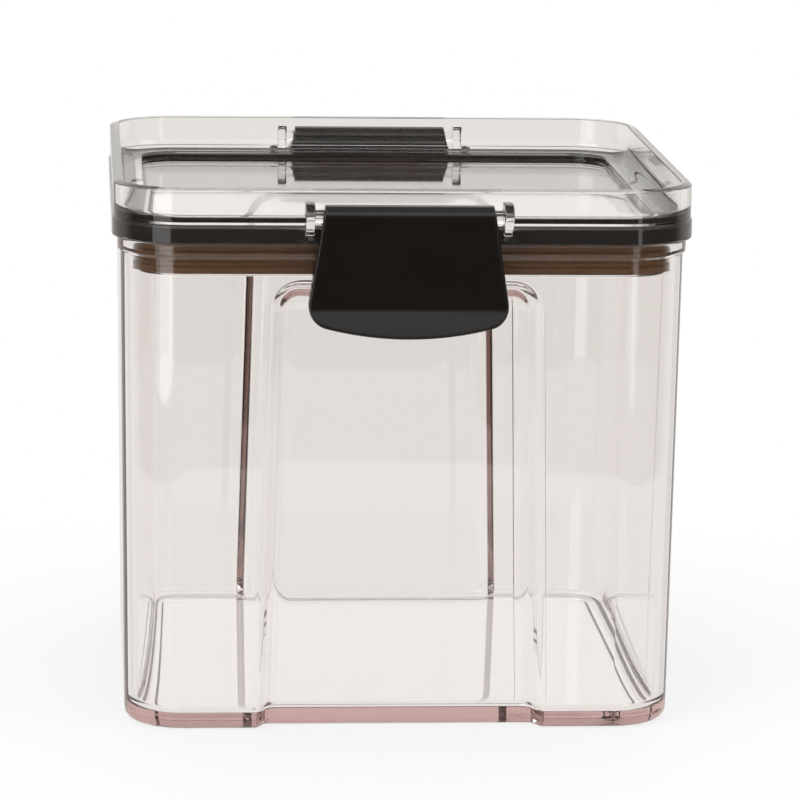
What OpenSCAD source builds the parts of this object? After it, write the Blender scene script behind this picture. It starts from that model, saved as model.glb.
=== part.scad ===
// Square storage bin with a clear stacking lid, a plug gasket and two flip latches.
// Origin: centre of the base on the table. +Z is up, the front latch faces -Y.

/* [Overall] */
// Width and depth of the lid over its rim wall
lid_w = 105; // [95:1:130]
// Height of the closed bin from the table to the top of the rim
total_h = 100; // [85:1:180]
// Plan radius of the lid's outer corners
corner_r = 13.2; // [11.5:0.1:17]

/* [Lid] */
// Thickness of the rim wall round the stacking tray
rim_t = 1.8; // [1.4:0.1:2.2]
// Height of the rim wall above the ledge
rim_h = 6.5; // [5.6:0.1:9]
// Rounding of the rim's outer top edge
rim_round = 0.9; // [0.3:0.1:1.2]
// Width of the ledge over the gasket, between the rim wall and the plug wall
ledge_w = 2.9; // [2.4:0.1:3.6]
// Thickness of the ledge over the gasket
ledge_t = 0.8; // [0.6:0.1:1.4]
// Step from the ledge down to the tray panel
panel_drop = 1.5; // [1:0.1:2.5]
// Thickness of the tray panel
panel_t = 1.8; // [1.2:0.1:2.2]
// Thickness of the plug wall that goes down into the bin
plug_t = 1.6; // [1.2:0.1:2.4]
// Depth of the plug wall below the bin's rim
plug_h = 6.2; // [5.8:0.1:6.6]
// How far the plug's foot stands out under the gasket
foot_out = 0.4; // [0.2:0.05:0.5]
// Height of the plug's foot
foot_h = 0.6; // [0.4:0.1:1]
// Thickness of the skirt outside the gasket
skirt_t = 1.1; // [0.8:0.1:1.3]
// How far the skirt stands proud of the rim wall
skirt_proud = 0.25; // [0.1:0.05:0.4]

/* [Gasket] */
// Thickness of the gasket's flange, squeezed between lid and bin
seal_t = 2.8; // [2:0.1:3.6]
// Wall of the gasket's sleeve round the plug
sleeve_t = 0.5; // [0.4:0.05:0.6]
// Height of the upper sealing lip
upper_lip_h = 2.1; // [1.5:0.1:2.3]
// Height of the lower sealing lip
lower_lip_h = 1; // [0.6:0.1:1.3]
// Groove between the two lips
lip_groove = 0.6; // [0.4:0.1:0.9]
// Gap between a sealing lip and the bin's wall
lip_gap = 0.25; // [0.2:0.05:0.35]

/* [Bin] */
// Thickness of the bin's walls
wall_t = 2.2; // [1.8:0.1:2.4]
// Thickness of the bin's floor
floor_t = 2.6; // [2:0.1:4]
// How far the bin's wall sits back from the lid's rim wall, just under the lid
wall_back = 1.3; // [1.1:0.05:1.6]
// How much narrower each side is at the base than at the rim
side_draft = 1; // [0.5:0.1:2]
// How far the bead round the bin's rim stands out
bead_out = 0.5; // [0.3:0.05:0.6]
// Height of the bead round the bin's rim
bead_h = 2.8; // [2:0.1:3]
// Rounding of the outer edge of the base
base_round = 2; // [1:0.1:3]
// Rounding between the inside walls and the floor
floor_round = 2; // [1:0.1:3]
// Depth of the hollow under the base, inside its foot ring
base_hollow = 0.6; // [0.3:0.1:1]
// Width of the foot ring
foot_ring = 4; // [3:0.1:6]

/* [Finger recess] */
// Width of the recess in the front and rear faces, near its top
recess_w = 48.8; // [42:0.2:54]
// How much wider the recess is on each side at the base
recess_flare = 1.8; // [0:0.1:2.5]
// Depth of the recess
recess_d = 3.6; // [2.5:0.1:4]
// Distance from the bin's rim down to the recess
recess_drop = 6.9; // [6.9:0.1:12]
// Radius of the recess's upper corners
recess_r = 5.3; // [4:0.1:8]
// Sideways run of the recess's sloped sides
recess_slope = 1.6; // [1:0.1:2.5]

/* [Latch] */
// Width of a latch at its hinge barrel
latch_w = 30.2; // [26:0.2:36]
// How much wider the latch is on each side at its lower corners
latch_flare = 3.1; // [1:0.1:4]
// Height of a latch from the top of its barrel to the middle of its lower edge
latch_h = 23.7; // [22:0.1:30]
// Radius of the hinge barrel
barrel_r = 2.1; // [2:0.05:2.3]
// Gap between the hinge barrel and the rim wall
barrel_gap = 0.3; // [0.25:0.05:0.6]
// Depth of the hinge axis below the top of the rim
pivot_drop = 4.5; // [3.6:0.1:5]
// Thickness of the latch's plate
plate_t = 1.6; // [1.3:0.1:1.8]
// Thickness of the latch's side flanges
flange_t = 1.4; // [1:0.1:2]
// How far the side flanges reach towards the bin behind the plate
flange_d = 2.1; // [1.4:0.1:2.3]
// How far the finger lip stands out from the plate
lip_out = 1.6; // [0.8:0.1:2.2]
// Height of the finger lip
lip_h = 6.5; // [5:0.1:8]
// Radius of the latch's lower corners
latch_r = 4; // [2:0.5:6]
// How far the lower edge bows down in the middle
latch_bow = 2.7; // [1:0.1:4]

/* [Hinge and catch] */
// Thickness of each ear on the lid
ear_t = 1.7; // [1.4:0.1:2.4]
// Radius of an ear round the hinge axis
ear_r = 2.45; // [2.2:0.05:2.8]
// Gap between the latch's barrel and an ear
ear_gap = 1.75; // [0.5:0.05:2.2]
// Width of the gusset outside each ear
gusset_w = 1.7; // [1:0.1:2.5]
// Radius of the stubs on the ears that the latch turns on
stub_r = 1.2; // [1:0.05:1.3]
// Clearance round each stub in the latch
stub_clear = 0.05; // [0.02:0.01:0.1]
// How far each stub goes into the latch
stub_in = 2.6; // [2:0.1:4]
// Width of the catch rib on the bin
catch_w = 22; // [16:0.5:26]
// How far the catch rib stands out from the bin's wall
catch_out = 1.8; // [1.5:0.05:1.9]
// Height of the catch rib
catch_h = 2.2; // [1.8:0.1:2.2]
// Distance from the bin's rim down to the catch rib's underside
catch_drop = 5; // [4.8:0.1:5.2]
// How far the hook reaches in under the catch rib
hook_bite = 0.9; // [0.5:0.05:1]
// Gap between the hook and the catch rib
hook_gap = 0.3; // [0.25:0.05:0.4]
// Height of the hook where it meets the plate
hook_h = 3.4; // [2.4:0.1:4]

/* [Hidden] */
$fn = 96;
// A small overlap that joins two shapes of one piece
bite = 0.5;
// A margin that carries a cut past the face it opens
past = 1;
// How far the swept sections stop short of their corner centres, inside the flat plates
core = 0.5;

// Half widths, measured from the middle to the flat of a side
rim_half = lid_w / 2;
corner_c = rim_half - corner_r;
tray_half = rim_half - rim_t;
plug_half = tray_half - ledge_w;
step_half = plug_half - plug_t;
skirt_half = rim_half + skirt_proud;
seal_half = rim_half - skirt_t;
bin_half = rim_half - wall_back;
foot_half = bin_half - side_draft;

// Heights above the table
ledge_z = total_h - rim_h;
panel_z = ledge_z - panel_drop;
seal_z = ledge_z - ledge_t;
rim_z = seal_z - seal_t;
plug_z = rim_z - plug_h;
foot_z = plug_z + foot_h;
pivot_z = total_h - pivot_drop;
catch_z = rim_z - catch_drop;
recess_z = rim_z - recess_drop;

// Places measured outwards from the middle
pivot_u = rim_half + barrel_r + barrel_gap;
plate_front = pivot_u + barrel_r;
plate_back = plate_front - plate_t;
catch_u = bin_half + catch_out;
hook_u = catch_u - hook_bite;

latch_low = pivot_z + barrel_r - latch_h;
lip_z = latch_low + lip_h;
ear_in = latch_w / 2 + ear_gap;

// Half width of the bin's drafted outer face at a height
function face(z) = foot_half + side_draft * z / rim_z;

// Points of an arc, from one angle to another
function arc(x, y, r, from, to, n = 12) =
    [for (i = [0 : n]) let (a = from + (to - from) * i / n) [x + r * cos(a), y + r * sin(a)]];

// Sweeps a profile round the square plan. The profile's x is the distance from the middle.
module around(c) {
    for (q = [0 : 3]) rotate([0, 0, 90 * q]) {
        rotate([90, 0, 0]) linear_extrude(2 * c, center = true) children();
        translate([c, c, 0]) rotate_extrude(angle = 90) translate([-c, 0]) children();
    }
}

// A flat plate with the square plan, its corners round the same centres
module plate(half, z, t) {
    r = half - corner_c;
    translate([0, 0, z]) linear_extrude(t) {
        square([2 * half, 2 * corner_c], center = true);
        square([2 * corner_c, 2 * half], center = true);
        for (x = [-corner_c, corner_c], y = [-corner_c, corner_c]) translate([x, y]) circle(r);
    }
}

// Extrudes a profile of outward distance and height along X, at the front face
module along_x(len, x = 0) {
    translate([x, 0, 0]) rotate([90, 0, -90]) linear_extrude(len, center = true) children();
}

// Extrudes an outline of X and height outwards at the front face
module outwards(from, to) {
    translate([0, -from, 0]) rotate([90, 0, 0]) linear_extrude(to - from) children();
}

// Repeats front features on the rear face
module front_and_rear() {
    for (turn = [0, 180]) rotate([0, 0, turn]) children();
}

// Section through the bin's wall, bead and the edge of its floor
module bin_section() {
    lead = 0.3;
    top_round = 0.4;
    inner_half = bin_half - wall_t;
    floor_half = face(floor_t) - wall_t;
    polygon(concat(
        [[corner_c + core, base_hollow], [face(0) - base_round - foot_ring, base_hollow]],
        [[face(0) - base_round - foot_ring + base_hollow, 0]],
        arc(face(0) - base_round, base_round, base_round, -90, 0),
        [[face(rim_z - bead_h), rim_z - bead_h], [bin_half + bead_out, rim_z - bead_h + bead_out]],
        arc(bin_half + bead_out - top_round, rim_z - top_round, top_round, 0, 90, 6),
        [[inner_half + lead, rim_z], [inner_half, rim_z - lead]],
        arc(floor_half - floor_round, floor_t + floor_round, floor_round, 0, -90),
        [[corner_c + core, floor_t]]
    ));
}

// A wedge with an arched outline that narrows from its outer end to its inner end. Each end is
// [distance from the middle, how much wider on each side, how much higher] than the recess's mouth.
module arch_wedge(outer, inner, low) {
    skin = 0.01;
    tilt = side_draft * (1 - recess_z / rim_z);
    hull() for (end = [outer, inner], s = [-1, 1]) {
        r = recess_r + end[1];
        half = recess_w / 2 + end[1];
        translate([s * (half - r), tilt - end[0], recess_z + end[2] - r])
            rotate([90, 0, 0]) cylinder(r = r, h = skin, $fn = 32);
        translate([s * (half + recess_flare - skin / 2), side_draft - end[0], low])
            cube(skin, center = true);
    }
}

// The space that the finger recess takes out of the face
module recess_cut() {
    grow = past * recess_slope / recess_d;
    arch_wedge([bin_half + past, grow, grow],
        [bin_half - recess_d, -recess_slope, -recess_slope], -past);
}

// The swelling on the inside of the wall behind the finger recess. Its top stays under the plug.
module recess_swell() {
    inner = bin_half - wall_t;
    plug_gap = 0.3;
    grow = 1.8;
    rise = min(grow, recess_drop - plug_h - plug_gap);
    run = recess_slope / recess_d;
    arch_wedge([inner + bite, grow + 2 * run * bite, rise + run * bite],
        [inner - recess_d, grow - 2 * recess_slope, rise - recess_slope], floor_t / 2);
}

// The rib under which a latch hooks
module catch_rib() {
    nose_h = 0.8;
    along_x(catch_w) polygon([
        [bin_half - 1, catch_z], [catch_u, catch_z], [catch_u, catch_z + nose_h],
        [bin_half, catch_z + catch_h], [bin_half - 1, catch_z + catch_h]
    ]);
}

module bin_body() {
    color([0.86, 0.80, 0.77, 0.45]) difference() {
        union() {
            around(corner_c) bin_section();
            plate(corner_c + 2 * core, base_hollow, floor_t - base_hollow);
            front_and_rear() recess_swell();
            front_and_rear() catch_rib();
        }
        front_and_rear() recess_cut();
    }
}

// Section through the lid's rim wall, ledge, skirt and plug wall
module lid_section() {
    inner_round = 0.3;
    skirt_low = rim_z + 0.1;
    polygon(concat(
        [[skirt_half, skirt_low], [skirt_half, ledge_z - skirt_proud], [rim_half, ledge_z]],
        arc(rim_half - rim_round, total_h - rim_round, rim_round, 0, 90, 8),
        arc(tray_half + inner_round, total_h - inner_round, inner_round, 90, 180, 4),
        [[tray_half, ledge_z], [step_half, ledge_z], [step_half, panel_z], [corner_c + core, panel_z]],
        [[corner_c + core, panel_z - panel_t], [step_half, panel_z - panel_t]],
        [[step_half, plug_z], [plug_half + foot_out, plug_z], [plug_half + foot_out, foot_z]],
        [[plug_half, foot_z], [plug_half, seal_z], [seal_half, seal_z], [seal_half, skirt_low]]
    ));
}

// One ear with its gusset and the stub that a latch turns on. side is -1 or 1.
module ear(side) {
    ear_low = rim_z + 0.8;
    gusset_top = ledge_z - skirt_proud - 0.3;
    ear_out = ear_in + ear_t;
    along_x(ear_t, side * (ear_in + ear_t / 2)) polygon(concat(
        [[rim_half - bite, ear_low], [rim_half - bite, pivot_z + ear_r]],
        arc(pivot_u, pivot_z, ear_r, 90, -20),
        [[skirt_half + 0.4, ear_low]]
    ));
    translate([0, 0, ear_low]) linear_extrude(gusset_top - ear_low) polygon([
        [side * (ear_out - bite), bite - skirt_half], [side * (ear_out - bite), -skirt_half - gusset_w],
        [side * ear_out, -skirt_half - gusset_w],
        [side * (ear_out + gusset_w + bite), bite - skirt_half]
    ]);
    stub_len = ear_t / 2 + ear_gap + stub_in;
    translate([side * (latch_w / 2 - stub_in + stub_len / 2), -pivot_u, pivot_z])
        rotate([0, 90, 0]) cylinder(r = stub_r, h = stub_len, center = true);
}

module lid() {
    color([0.86, 0.84, 0.80, 0.45]) {
        around(corner_c) lid_section();
        plate(corner_c + 2 * core, panel_z - panel_t, panel_t);
        front_and_rear() for (side = [-1, 1]) ear(side);
    }
}

// Section through the gasket's flange, sleeve and two lips
module gasket_section() {
    slip = 0.05;
    inner = plug_half + slip;
    sleeve = inner + sleeve_t;
    lip = bin_half - wall_t - lip_gap;
    taper = 0.3;
    lower_top = foot_z + taper + lower_lip_h;
    upper_low = lower_top + lip_groove;
    polygon([
        [inner, foot_z], [sleeve - taper, foot_z], [lip, foot_z + taper], [lip, lower_top - taper],
        [sleeve, lower_top], [sleeve, upper_low], [lip, upper_low + taper],
        [lip, upper_low + upper_lip_h - taper], [sleeve, upper_low + upper_lip_h], [sleeve, rim_z],
        [seal_half - slip, rim_z], [seal_half - slip, seal_z], [inner, seal_z]
    ]);
}

module gasket() {
    color([0.07, 0.06, 0.06]) around(corner_c) gasket_section();
}

// Outline of a latch seen from the front, with its bowed lower edge
module latch_outline() {
    slope = latch_flare / (latch_h - latch_r);
    top_z = pivot_z + barrel_r + 2 * latch_r;
    half_at_top = latch_w / 2 - 2 * latch_r * slope;
    half_at_low = latch_w / 2 + latch_h * slope;
    bow_r = (pow(latch_w / 2 + latch_flare, 2) + pow(latch_bow, 2)) / (2 * latch_bow);
    offset(r = latch_r) offset(delta = -latch_r) intersection() {
        polygon([[-half_at_top, top_z], [half_at_top, top_z], [half_at_low, latch_low],
            [-half_at_low, latch_low]]);
        translate([0, latch_low + bow_r]) circle(bow_r, $fn = 240);
    }
}

// Section through the latch's plate and its lip, which curves outwards
module plate_section() {
    lip_r = (pow(lip_h, 2) + pow(lip_out, 2)) / (2 * lip_out);
    swing = asin(lip_h / lip_r);
    polygon(concat(
        [[plate_back, pivot_z]],
        arc(plate_front + lip_r, lip_z, lip_r + plate_t, 180, 180 + swing),
        arc(plate_front + lip_r, lip_z, lip_r, 180 + swing, 180),
        [[plate_front, pivot_z]]
    ));
}

// The stiffening flanges along both sides, behind the plate
module latch_flanges() {
    low = latch_low + latch_r + 0.8;
    intersection() {
        along_x(2 * latch_w) polygon([
            [plate_back - flange_d, pivot_z], [plate_back - flange_d, low + flange_d],
            [plate_back, low], [plate_back + bite, low], [plate_back + bite, pivot_z]
        ]);
        outwards(plate_back - flange_d - past, plate_front) difference() {
            latch_outline();
            offset(delta = -flange_t) latch_outline();
        }
    }
}

// The hook that reaches in under the catch rib
module latch_hook() {
    play = 0.5;
    nose_h = 0.7;
    top = catch_z - hook_gap;
    along_x(catch_w - 2 * play) polygon([
        [plate_back + bite, top], [hook_u, top], [hook_u, top - nose_h],
        [plate_back, top - hook_h], [plate_back + bite, top - hook_h]
    ]);
}

module front_latch() {
    bore_in = stub_in + 0.3;
    color([0.06, 0.06, 0.06]) difference() {
        union() {
            intersection() {
                along_x(2 * latch_w) plate_section();
                outwards(plate_back - past, plate_front + lip_out + plate_t) latch_outline();
            }
            latch_flanges();
            latch_hook();
            translate([0, -pivot_u, pivot_z]) rotate([0, 90, 0])
                cylinder(r = barrel_r, h = latch_w, center = true);
        }
        for (side = [-1, 1]) translate([side * (latch_w / 2 - bore_in / 2 + past / 2), -pivot_u, pivot_z])
            rotate([0, 90, 0]) cylinder(r = stub_r + stub_clear, h = bore_in + past, center = true);
    }
}

module rear_latch() {
    rotate([0, 0, 180]) front_latch();
}

bin_body();
lid();
gasket();
front_latch();
rear_latch();
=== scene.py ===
"""Dresses a square clear storage bin: its stacking lid, its plug gasket and its two flip latches."""
import logging
import math
from collections.abc import Callable, Iterable, Sequence
from dataclasses import dataclass
from enum import Enum
from typing import ClassVar

import bmesh
import bpy
from mathutils import Matrix, Vector


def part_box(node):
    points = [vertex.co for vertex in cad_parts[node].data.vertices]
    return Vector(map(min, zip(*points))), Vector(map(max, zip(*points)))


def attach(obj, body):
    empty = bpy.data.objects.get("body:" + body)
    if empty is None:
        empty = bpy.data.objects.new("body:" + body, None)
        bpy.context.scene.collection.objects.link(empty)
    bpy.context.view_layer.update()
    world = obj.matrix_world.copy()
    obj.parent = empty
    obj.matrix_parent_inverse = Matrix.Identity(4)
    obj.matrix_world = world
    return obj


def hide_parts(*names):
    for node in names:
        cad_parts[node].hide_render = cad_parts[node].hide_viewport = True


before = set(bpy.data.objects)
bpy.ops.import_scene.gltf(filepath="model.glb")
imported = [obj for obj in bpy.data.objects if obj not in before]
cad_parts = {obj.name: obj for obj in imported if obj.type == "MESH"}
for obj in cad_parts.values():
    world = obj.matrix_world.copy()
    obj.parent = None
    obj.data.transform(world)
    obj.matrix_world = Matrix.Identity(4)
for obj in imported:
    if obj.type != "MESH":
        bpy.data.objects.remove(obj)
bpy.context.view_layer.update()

LOG = logging.getLogger("storage_bin")
MM = 0.001
HALF_TURN = Matrix.Rotation(math.pi, 4, "Z")

Pair = tuple[float, float]
Corner = tuple[float, float, float]
Colour = tuple[float, float, float]
Station = tuple[Vector, Vector]
Place = Callable[[float, float, float], Vector]
Thing = bpy.types.Object
Node = bpy.types.Node
Socket = bpy.types.NodeSocket


class Slot(Enum):
    """The record's material slots."""

    BIN = "clear_bin"
    LID = "clear_lid"
    SEAL = "black_seal"
    LATCH = "black_latch"


class Body(Enum):
    """The bodies that pieces ride on."""

    BIN = "bin"
    LID = "lid"
    FRONT_LATCH = "front_latch"
    REAR_LATCH = "rear_latch"


def spaced(start: float, stop: float, steps: int) -> list[float]:
    """Gives evenly spaced numbers, one more than the steps, both ends included."""
    return [start + (stop - start) * i / steps for i in range(steps + 1)]


def arc(centre: Pair, radius: float, start: float, stop: float, steps: int) -> list[Pair]:
    """Gives points of an arc.

    Args:
        centre: The arc's centre.
        radius: The arc's radius.
        start: Angle of the first point, in radians.
        stop: Angle of the last point, in radians.
        steps: Number of segments.

    Returns:
        The points from start to stop, one more than the segments.
    """
    return [(centre[0] + radius * math.cos(a), centre[1] + radius * math.sin(a)) for a in spaced(start, stop, steps)]


def rounded(corners: Sequence[Corner], closed: bool = False, steps: int = 6) -> list[Pair]:
    """Rounds the corners of an outline.

    Args:
        corners: Each corner's two coordinates and its radius.
        closed: Whether the last corner joins the first.
        steps: Number of segments in each rounding.

    Returns:
        The points of the rounded outline.
    """
    points: list[Pair] = []
    last = len(corners) - 1
    for i, (x, y, radius) in enumerate(corners):
        if radius == 0 or (not closed and i in (0, last)):
            points.append((x, y))
            continue
        here = Vector((x, y))
        back = (Vector(corners[i - 1][:2]) - here).normalized()
        ahead = (Vector(corners[(i + 1) % len(corners)][:2]) - here).normalized()
        half = back.angle(ahead) / 2
        centre = here + (back + ahead).normalized() * radius / math.sin(half)
        first = here + back * radius / math.tan(half) - centre
        final = here + ahead * radius / math.tan(half) - centre
        start = math.atan2(first.y, first.x)
        turn = (math.atan2(final.y, final.x) - start + math.pi) % math.tau - math.pi
        points += arc((centre.x, centre.y), radius, start, start + turn, steps)
    return points


class Skin:
    """Collects the faces of one moulded piece and welds them into a closed mesh."""

    WELD: ClassVar[float] = 0.001 * MM
    SMOOTH_BELOW: ClassVar[float] = math.radians(33)
    FLAT_WEIGHT: ClassVar[int] = 100

    def __init__(self) -> None:
        """Starts an empty skin."""
        self.bm = bmesh.new()

    def face(self, points: Iterable[Vector]) -> None:
        """Adds one face through the points, in order."""
        self.bm.faces.new([self.bm.verts.new(p) for p in points])

    def grid(self, rows: Sequence[Sequence[Vector]]) -> None:
        """Adds a quad between each two neighbours of each two following rows.

        Args:
            rows: The points, row by row.
        """
        verts = [[self.bm.verts.new(p) for p in row] for row in rows]
        for one, two in zip(verts, verts[1:]):
            for i in range(len(one) - 1):
                self.bm.faces.new((one[i], one[i + 1], two[i + 1], two[i]))

    def repeat(self, turn: Matrix) -> None:
        """Adds a turned copy of all faces so far.

        Args:
            turn: The rotation of the copy.
        """
        copy = bmesh.ops.duplicate(self.bm, geom=self.bm.faces[:] + self.bm.edges[:] + self.bm.verts[:])
        verts = [v for v in copy["geom"] if isinstance(v, bmesh.types.BMVert)]
        bmesh.ops.transform(self.bm, matrix=turn, verts=verts)

    def soften(self, width: float, segments: int = 3) -> None:
        """Rounds all sharp edges.

        Args:
            width: The rounding's width.
            segments: Number of segments across it.
        """
        self.weld()
        edges = [e for e in self.bm.edges if e.calc_face_angle(0) > self.SMOOTH_BELOW]
        bmesh.ops.bevel(self.bm, geom=edges, offset=width, segments=segments, profile=0.5,
                        affect="EDGES", clamp_overlap=True)

    def weld(self) -> None:
        """Joins points that coincide, fills flat openings and turns all faces outwards."""
        bmesh.ops.remove_doubles(self.bm, verts=self.bm.verts, dist=self.WELD)
        rims = [e for e in self.bm.edges if e.is_boundary]
        if rims:
            bmesh.ops.holes_fill(self.bm, edges=rims, sides=0)
        bmesh.ops.recalc_face_normals(self.bm, faces=self.bm.faces)

    def piece(self, name: str) -> Thing:
        """Makes the object.

        Args:
            name: The object's name.

        Returns:
            The new object, in the scene, with smooth faces and crisp edges.
        """
        self.weld()
        mesh = bpy.data.meshes.new(name)
        self.bm.to_mesh(mesh)
        self.bm.free()
        thing = bpy.data.objects.new(name, mesh)
        bpy.context.scene.collection.objects.link(thing)
        shade(thing)
        return thing


def shade(thing: Thing) -> None:
    """Smooths an object's faces and keeps its flat faces flat.

    Args:
        thing: The object to smooth.
    """
    mesh = thing.data
    mesh.polygons.foreach_set("use_smooth", [True] * len(mesh.polygons))
    mesh.set_sharp_from_angle(angle=Skin.SMOOTH_BELOW)
    if "flat faces" not in thing.modifiers:
        weighted = thing.modifiers.new("flat faces", "WEIGHTED_NORMAL")
        weighted.keep_sharp = True
        weighted.weight = Skin.FLAT_WEIGHT


def fuse(base: Thing, *extras: Thing) -> None:
    """Joins solids into one closed solid, as one moulding.

    Args:
        base: The object that takes the joined shape.
        extras: The solids that join it. Their objects are removed.
    """
    base.modifiers.clear()
    for extra in extras:
        extra.modifiers.clear()
        join = base.modifiers.new("join", "BOOLEAN")
        join.operation = "UNION"
        join.solver = "MANIFOLD"
        join.object = extra
        bpy.context.view_layer.update()
        result = base.evaluated_get(bpy.context.evaluated_depsgraph_get())
        old = base.data
        base.data = bpy.data.meshes.new_from_object(result)
        base.data.name = base.name
        base.modifiers.clear()
        bpy.data.meshes.remove(old)
        bpy.data.objects.remove(extra)
    shade(base)


@dataclass(frozen=True)
class SquarePlan:
    """A square plan whose rounded corners share one set of centres.

    Attributes:
        centre: Distance of each corner's centre from the middle, along X and Y.
        steps: Number of segments round each corner.
    """

    centre: float = 39.3 * MM
    steps: int = 22

    def corner(self, quarter: int) -> list[Station]:
        """Lists a corner's stations, each with its anchor and its outward direction.

        Args:
            quarter: 0 is the corner between +X and +Y, and each quarter turns left from there.

        Returns:
            The stations, in order.
        """
        turn = Matrix.Rotation(quarter * math.pi / 2, 2)
        anchor = turn @ Vector((self.centre, self.centre))
        angles = spaced(quarter * math.pi / 2, (quarter + 1) * math.pi / 2, self.steps)
        return [(anchor, Vector((math.cos(a), math.sin(a)))) for a in angles]

    def place(self, station: Station, at: Pair) -> Vector:
        """Gives the point of a section at a station.

        Args:
            station: The station's anchor and direction.
            at: Distance from the middle, and height.

        Returns:
            The point.
        """
        anchor, outwards = station
        flat = anchor + outwards * (at[0] - self.centre)
        return Vector((flat.x, flat.y, at[1]))

    def sweep(self, skin: Skin, section: Sequence[Pair], quarters: Sequence[int] = (0, 1, 2, 3, 0)) -> None:
        """Sweeps a section round the corners and along the sides between them.

        Args:
            skin: Takes the faces.
            section: Distance from the middle and height of each point.
            quarters: The corners to pass, in order.
        """
        stations = [s for i, q in enumerate(quarters) for s in self.corner(q)[: 1 if i == 4 else None]]
        skin.grid([[self.place(s, at) for at in section] for s in stations])


PLAN = SquarePlan()


def prism(outline: Sequence[Pair], span: Pair, place: Place) -> Skin:
    """Makes a straight prism.

    Args:
        outline: The section's points.
        span: Where the prism starts and ends.
        place: Turns an outline point and a distance along the prism into a place.

    Returns:
        The closed skin.
    """
    skin = Skin()
    for at in span:
        skin.face([place(a, b, at) for a, b in outline])
    ring = [*outline, outline[0]]
    skin.grid([[place(a, b, at) for a, b in ring] for at in span])
    return skin


def across(u: float, z: float, x: float) -> Vector:
    """Places a section point of the front side: distance from the middle, height and X."""
    return Vector((x, -u, z))


def upright(x: float, u: float, z: float) -> Vector:
    """Places a plan point of the front side: X, distance from the middle and height."""
    return Vector((x, -u, z))


def lay_front(points: Iterable[Pair], depth: Callable[[float], float]) -> list[Vector]:
    """Lays points seen from the front, X and height, on a face whose distance depends on the height."""
    return [Vector((x, -depth(z), z)) for x, z in points]


def spindle(profile: Sequence[Pair], u: float, z: float, steps: int = 40) -> Skin:
    """Turns a profile round an axis along X at the front side.

    Args:
        profile: X and radius of each point, from end to end.
        u: Distance of the axis from the middle.
        z: Height of the axis.
        steps: Number of segments round the axis.

    Returns:
        The closed skin.
    """
    skin = Skin()
    turns = spaced(0, math.tau, steps)
    skin.grid([[Vector((x, -u - r * math.cos(a), z + r * math.sin(a))) for a in turns] for x, r in profile])
    return skin


@dataclass(frozen=True)
class Heights:
    """Heights and half widths that the pieces share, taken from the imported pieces."""

    top: float
    skirt_half: float
    rim_z: float
    seal_z: float
    foot_z: float
    latch_low: float
    latch_high: float

    @classmethod
    def of_frame(cls) -> "Heights":
        """Reads them from the frame.

        Returns:
            The heights and half widths.
        """
        lid_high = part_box("lid")[1]
        seal_low, seal_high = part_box("gasket")
        latch_low, latch_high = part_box("front_latch")
        return cls(top=lid_high.z, skirt_half=lid_high.x, rim_z=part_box("bin_body")[1].z,
                   seal_z=seal_high.z, foot_z=seal_low.z, latch_low=latch_low.z, latch_high=latch_high.z)


@dataclass(frozen=True)
class Arch:
    """The arched outline of a finger recess, with legs that spread towards the base.

    Attributes:
        half: Half width where the legs meet the upper corners.
        flare: How much wider each leg stands at the base.
        top: Height of the arch.
        radius: Radius of the upper corners.
        low: Height at which the legs end.
        marks: Distances from the middle of the points on the level top.
    """

    half: float
    flare: float
    top: float
    radius: float
    low: float
    marks: tuple[float, ...]
    steps: ClassVar[int] = 10

    def ring(self, grow: float) -> list[Pair]:
        """Lists the outline's points, from the right foot over the top to the left foot.

        Args:
            grow: How much wider than the plain outline.

        Returns:
            X and height of each point.
        """
        tilt = math.atan2(self.flare, self.top - self.radius - self.low)
        centre = (self.half - self.radius, self.top - self.radius)
        bend = arc(centre, self.radius + grow, tilt, math.pi / 2, 2 * self.steps)
        foot = (bend[0][0] + (bend[0][1] - self.low) * math.tan(tilt), self.low)
        right = [foot, *bend] + [(mark, self.top + grow) for mark in self.marks]
        return right + [(-x, z) for x, z in reversed(right)]

    def border(self, side: float, roof: float) -> list[Pair]:
        """Lists as many points on the panel's straight border as a ring has.

        Args:
            side: Distance of the border's sides from the middle.
            roof: Height of its upper edge.

        Returns:
            X and height of each point, in the ring's order.
        """
        shoulder = self.top - self.radius
        right = [(side, self.low)] + [(side, z) for z in spaced(shoulder, roof, self.steps)]
        inner = self.marks[0] + (self.half - self.marks[0]) / 2
        right += [(x, roof) for x in spaced(side, inner, self.steps)[1:]]
        right += [(mark, roof) for mark in self.marks]
        return right + [(-x, z) for x, z in reversed(right)]


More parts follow.
